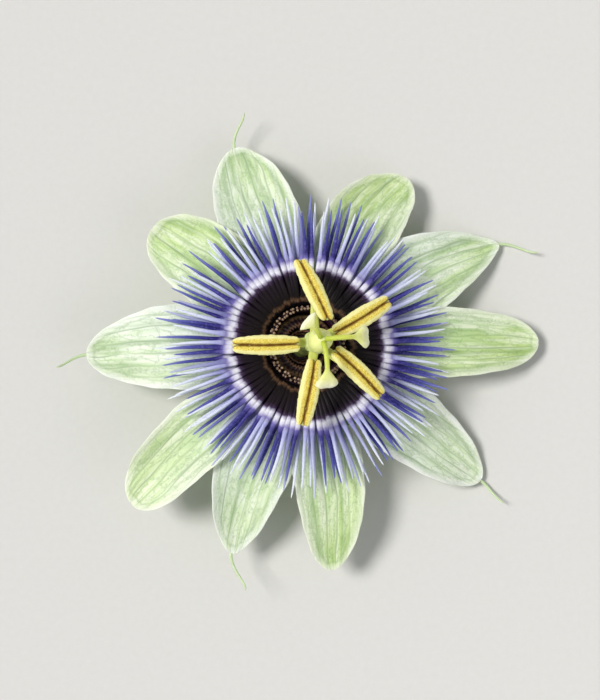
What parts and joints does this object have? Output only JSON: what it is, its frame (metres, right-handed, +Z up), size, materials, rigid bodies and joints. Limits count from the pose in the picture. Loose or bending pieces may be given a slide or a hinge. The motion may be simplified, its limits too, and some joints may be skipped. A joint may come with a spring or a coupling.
{
  "type": "passion flower",
  "caption": "Open passion flower on its cut stalk, lying face up: pale sepals and petals round a fringed corona, with a raised column that carries the stamens, ovary and styles.",
  "frame": {"origin": "bottom centre of the whole flower's box, on the surface it lies on", "axes": "+Z up from the surface, out of the flower's face; +X towards the side the face leans to"},
  "size_m": [0.0991, 0.097, 0.0361],
  "materials": {
    "sepal": "whitish inside, green behind, soft satin",
    "petal": "pale yellow-green, thin, soft satin",
    "bract": "pale leafy green, satin, veined",
    "floral_cup": "light green, smooth",
    "stalk": "mid green, faintly ridged, satin",
    "corona_long": "threads banded dark purple, white, blue-violet, pale tips",
    "corona_short": "dark purple threads with pale knobs",
    "nectar_folds": "dark maroon folds, damp gloss",
    "column": "yellow-green flecked with purple, satin",
    "filament": "yellow-green flecked with purple, satin",
    "anther": "matt golden pollen over a pale edge",
    "ovary": "pale green with a grey bloom",
    "style": "lime green, cream at the stigma"
  },
  "bodies": {
    "root": {"anther_1": "anther", "anther_2": "anther", "anther_3": "anther", "anther_4": "anther", "anther_5": "anther", "bract_1": "bract", "bract_2": "bract", "bract_3": "bract", "column": "column", "corona_inner_row": "corona_short", "corona_outer_row": "corona_long", "corona_second_row": "corona_long", "floral_cup": "floral_cup", "limen": "nectar_folds", "operculum": "nectar_folds", "ovary": "ovary", "petal_1": "petal", "petal_2": "petal", "petal_3": "petal", "petal_4": "petal", "petal_5": "petal", "sepal_1": "sepal", "sepal_2": "sepal", "sepal_3": "sepal", "sepal_4": "sepal", "sepal_5": "sepal", "stalk": "stalk", "stamen_filament_1": "filament", "stamen_filament_2": "filament", "stamen_filament_3": "filament", "stamen_filament_4": "filament", "stamen_filament_5": "filament", "style_1": "style", "style_2": "style", "style_3": "style"}
  },
  "joints": []
}
